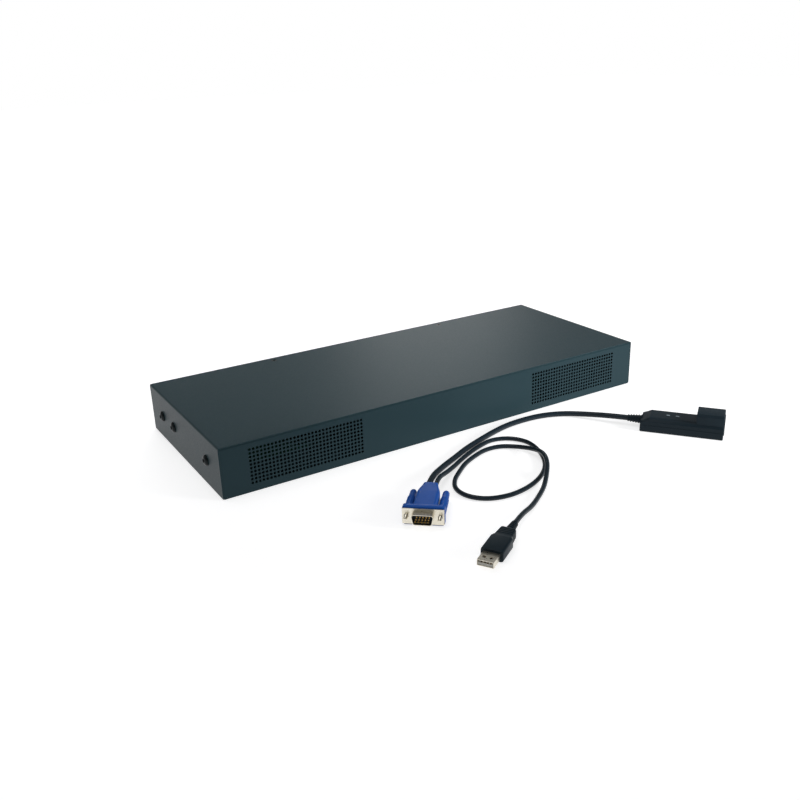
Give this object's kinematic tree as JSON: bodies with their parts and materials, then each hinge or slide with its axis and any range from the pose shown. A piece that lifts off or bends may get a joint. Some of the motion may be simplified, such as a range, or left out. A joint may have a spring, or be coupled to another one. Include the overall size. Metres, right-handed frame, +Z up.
{
  "type": "kvm switch",
  "caption": "Flat dark metal rack-width switch box with two perforated vent fields on its long front, and its adapter cable with video plug, USB plug and jack dongle.",
  "frame": {"origin": "on the surface that the case stands on, under the middle of the case's floor", "axes": "+X to the right along the front, +Y towards the rear connectors, +Z up"},
  "size_m": [0.4372, 0.3747, 0.0437],
  "materials": {
    "case_paint": "satin dark blue-grey powder coat",
    "black_screw": "black oxide",
    "circuit_board": "green solder mask",
    "bright_metal": "tin-plated steel",
    "chip_black": "matt epoxy",
    "fin_aluminium": "extruded",
    "white_plastic": "moulded nylon",
    "black_plastic": "fine spark-eroded texture",
    "blue_plastic": "moulded PVC, satin",
    "plug_metal": "nickel-plated steel",
    "contact_brass": "gold flash",
    "lamp_plastic": "clear light pipe",
    "transformer_tape": "polyester tape",
    "cable_jacket": "soft matt PVC jacket"
  },
  "bodies": {
    "case": {"top_cover": "case_paint", "base_tray": "case_paint", "front_panel": "case_paint", "rear_panel": "case_paint", "side_screws": "black_screw", "cover_screws": "black_screw", "main_board": "circuit_board", "board_standoffs": "bright_metal", "board_screws": "bright_metal", "board_chips": "chip_black", "chip_heatsink": "fin_aluminium", "board_capacitors": "chip_black", "board_header": "white_plastic", "server_jacks": "black_plastic", "service_jacks": "black_plastic", "usb_socket_shell": "bright_metal", "usb_socket_tongues": "white_plastic", "video_socket_shell": "bright_metal", "video_socket_insert": "blue_plastic", "video_socket_nuts": "bright_metal", "reset_switch": "black_plastic", "status_lamps": "lamp_plastic", "power_inlet": "black_plastic", "inlet_blades": "contact_brass", "inlet_screws": "black_screw", "power_switch": "black_plastic", "supply_board": "circuit_board", "supply_standoffs": "bright_metal", "supply_transformer": "transformer_tape", "supply_capacitors": "chip_black", "supply_heatsinks": "fin_aluminium", "supply_filter": "chip_black", "supply_plugs": "white_plastic", "dc_harness": "cable_jacket", "ac_harness": "cable_jacket", "fan_frame": "black_plastic", "fan_bracket": "bright_metal"},
    "rocker": {"power_rocker": "black_plastic"},
    "reset": {"reset_button": "white_plastic"},
    "rotor": {"fan_rotor": "black_plastic"},
    "adapter": {"video_plug_hood": "blue_plastic", "video_plug_shell": "plug_metal", "video_plug_insert": "black_plastic", "video_plug_pins": "contact_brass", "usb_plug_grip": "black_plastic", "usb_plug_shell": "plug_metal", "usb_plug_tongue": "white_plastic", "dongle_base": "black_plastic", "dongle_lid": "black_plastic", "dongle_board": "circuit_board", "dongle_lamps": "lamp_plastic", "dongle_jack": "black_plastic", "dongle_relief": "cable_jacket", "main_cable": "cable_jacket", "usb_cable": "cable_jacket"},
    "thumbscrew_main": {"thumbscrew_main_side": "blue_plastic"},
    "thumbscrew_usb": {"thumbscrew_usb_side": "blue_plastic"}
  },
  "joints": [
    {"name": "rocker_tilt", "type": "hinge", "parent": "case", "child": "rocker", "pos_m": [0.14472, 0.0854, 0.022], "axis": [1, 0, 0], "range_deg": [0, 20]},
    {"name": "reset_press", "type": "slide", "parent": "case", "child": "reset", "axis": [0, -1, 0], "range_m": [0, 0.0008], "stiffness_N_per_m": 300, "springref_m": -0.001},
    {"name": "fan_spin", "type": "hinge", "parent": "case", "child": "rotor", "pos_m": [0.1411, -0.066, 0.021], "axis": [0, 1, 0], "continuous": true},
    {"name": "adapter_lift", "type": "slide", "parent": "case", "child": "adapter", "axis": [0, 0, 1], "range_m": [0, 0.12]},
    {"name": "thumbscrew_main_turn", "type": "hinge", "parent": "adapter", "child": "thumbscrew_main", "pos_m": [-0.11943, -0.1988, 0.0075], "axis": [-0.6561, -0.7547, 0], "continuous": true},
    {"name": "thumbscrew_usb_turn", "type": "hinge", "parent": "adapter", "child": "thumbscrew_usb", "pos_m": [-0.10057, -0.2152, 0.0075], "axis": [-0.6561, -0.7547, 0], "continuous": true}
  ]
}
